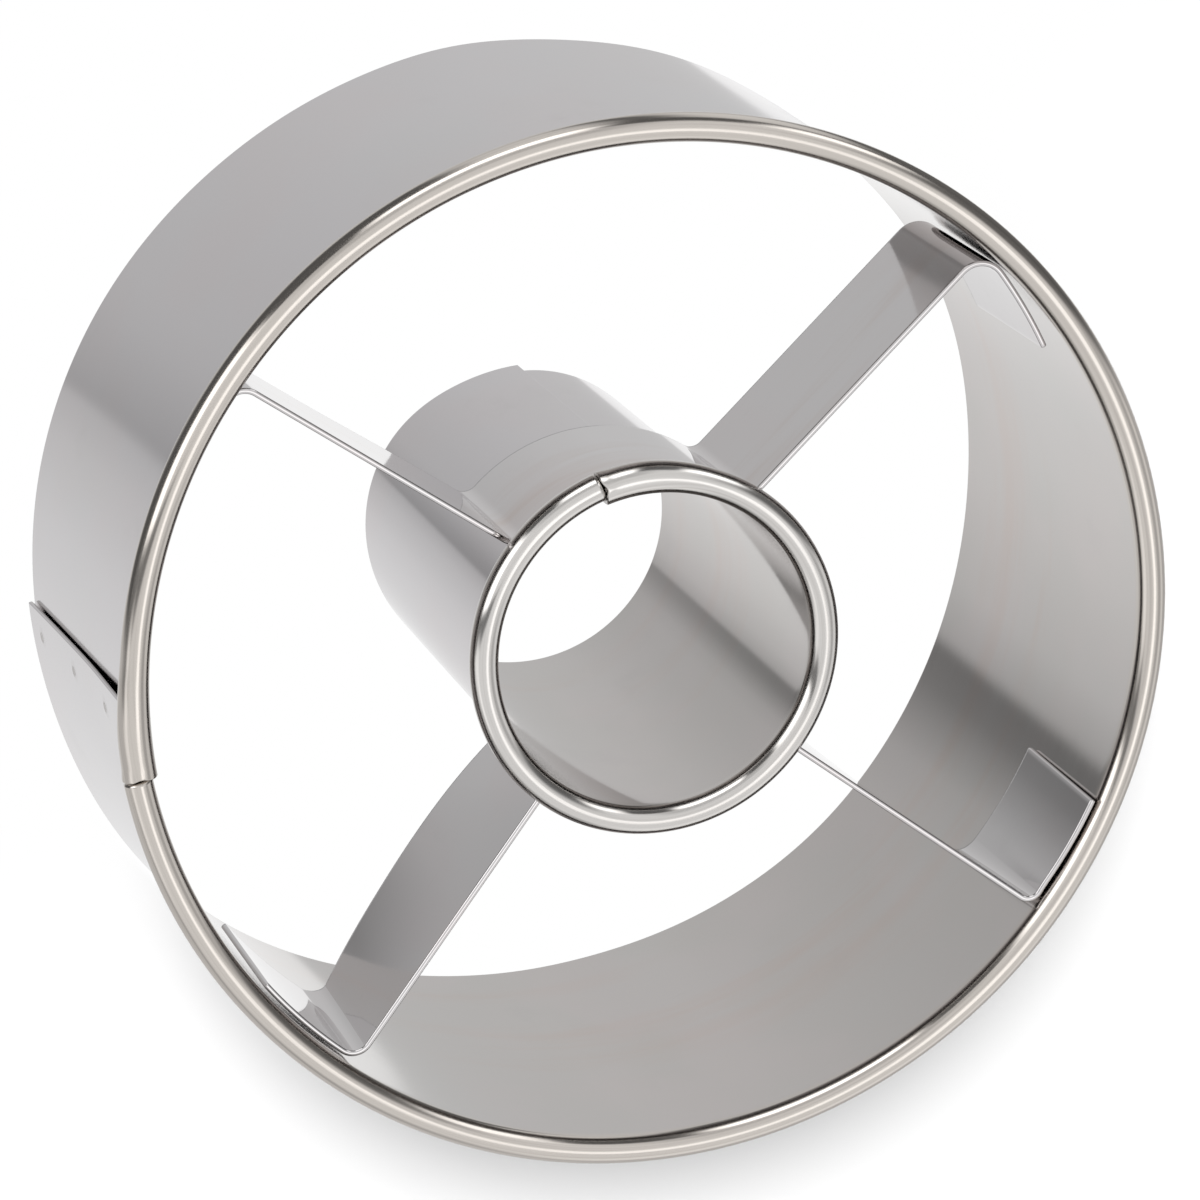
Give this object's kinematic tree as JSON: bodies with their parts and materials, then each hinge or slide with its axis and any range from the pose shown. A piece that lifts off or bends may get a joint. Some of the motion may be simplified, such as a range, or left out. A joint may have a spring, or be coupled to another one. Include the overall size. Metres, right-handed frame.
{
  "type": "donut cutter",
  "caption": "Round pastry cutter of rolled sheet steel: an outer ring and a centre tube with curled rims, joined by two bent straps.",
  "frame": {"origin": "on the common axis of the ring and the tube, in the plane of the cutting edges", "axes": "+Z along the axis from the cutting edges to the curled rims; the spokes lie near the diagonals of X and Y"},
  "size_m": [0.0935, 0.093, 0.0446],
  "materials": {
    "ring_steel": "bright rolled stainless sheet",
    "tube_steel": "bright rolled stainless sheet",
    "strap_steel": "bright stainless strip with sheared edges"
  },
  "bodies": {
    "root": {"outer_ring": "ring_steel", "centre_tube": "tube_steel", "upper_strap": "strap_steel", "lower_strap": "strap_steel"}
  },
  "joints": []
}
